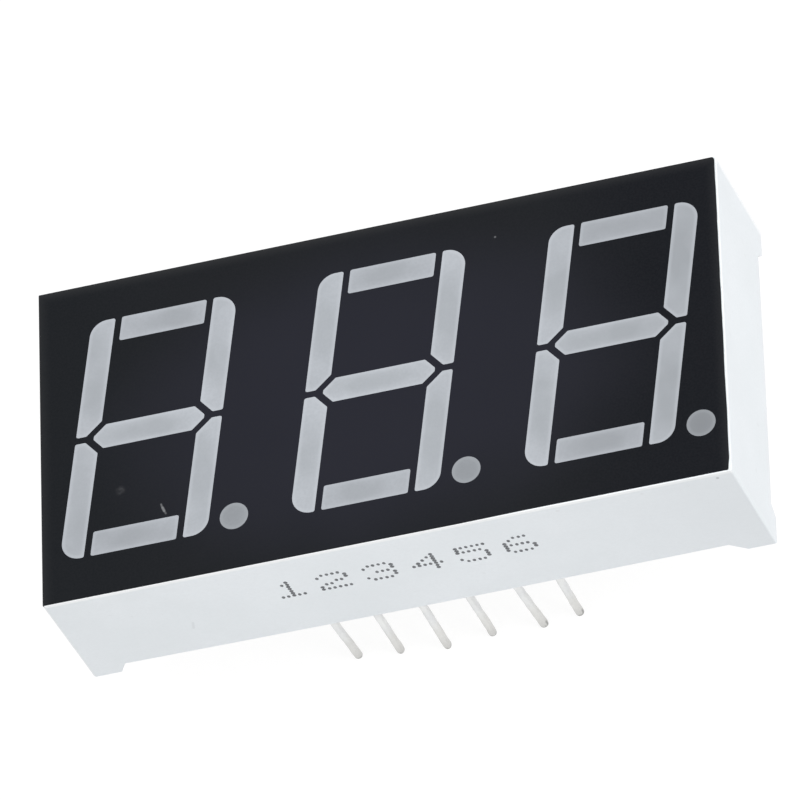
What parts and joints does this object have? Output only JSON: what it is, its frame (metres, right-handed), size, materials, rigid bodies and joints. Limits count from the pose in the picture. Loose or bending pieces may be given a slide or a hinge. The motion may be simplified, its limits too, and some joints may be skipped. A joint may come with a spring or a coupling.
{
  "type": "seven segment display",
  "caption": "Slanted seven segment digits with decimal points in a black face on a white housing, with two rows of solder pins behind.",
  "frame": {"origin": "centre of the footprint, on the plane of the feet, where the part seats on its board", "axes": "+X along the row of digits towards the last one, +Y up the digits, +Z out of the face"},
  "size_m": [0.0376, 0.019, 0.0143],
  "materials": {
    "white_moulding": "moulded, fine satin",
    "black_print": "printed, satin black",
    "segment_epoxy": "diffused grey epoxy, smooth",
    "board_laminate": "glass epoxy laminate",
    "copper": "bare copper",
    "solder": "bright solder",
    "potting": "cast epoxy",
    "led_die": "sawn semiconductor",
    "gold_wire": "drawn gold",
    "tinned_pin": "dull tin plate"
  },
  "bodies": {
    "root": {"reflector_housing": "white_moulding", "face_print": "black_print", "circuit_board": "board_laminate", "copper_pads": "copper", "solder_joints": "solder", "rear_potting": "potting", "digit_1_segment_a": "segment_epoxy", "digit_1_segment_b": "segment_epoxy", "digit_1_segment_c": "segment_epoxy", "digit_1_segment_d": "segment_epoxy", "digit_1_segment_e": "segment_epoxy", "digit_1_segment_f": "segment_epoxy", "digit_1_segment_g": "segment_epoxy", "digit_1_decimal_point": "segment_epoxy", "digit_2_segment_a": "segment_epoxy", "digit_2_segment_b": "segment_epoxy", "digit_2_segment_c": "segment_epoxy", "digit_2_segment_d": "segment_epoxy", "digit_2_segment_e": "segment_epoxy", "digit_2_segment_f": "segment_epoxy", "digit_2_segment_g": "segment_epoxy", "digit_2_decimal_point": "segment_epoxy", "digit_3_segment_a": "segment_epoxy", "digit_3_segment_b": "segment_epoxy", "digit_3_segment_c": "segment_epoxy", "digit_3_segment_d": "segment_epoxy", "digit_3_segment_e": "segment_epoxy", "digit_3_segment_f": "segment_epoxy", "digit_3_segment_g": "segment_epoxy", "digit_3_decimal_point": "segment_epoxy", "digit_1_led_dice": "led_die", "digit_2_led_dice": "led_die", "digit_3_led_dice": "led_die", "digit_1_bond_wires": "gold_wire", "digit_2_bond_wires": "gold_wire", "digit_3_bond_wires": "gold_wire", "pin_1": "tinned_pin", "pin_2": "tinned_pin", "pin_3": "tinned_pin", "pin_4": "tinned_pin", "pin_5": "tinned_pin", "pin_6": "tinned_pin", "pin_7": "tinned_pin", "pin_8": "tinned_pin", "pin_9": "tinned_pin", "pin_10": "tinned_pin", "pin_11": "tinned_pin", "pin_12": "tinned_pin"}
  },
  "joints": []
}
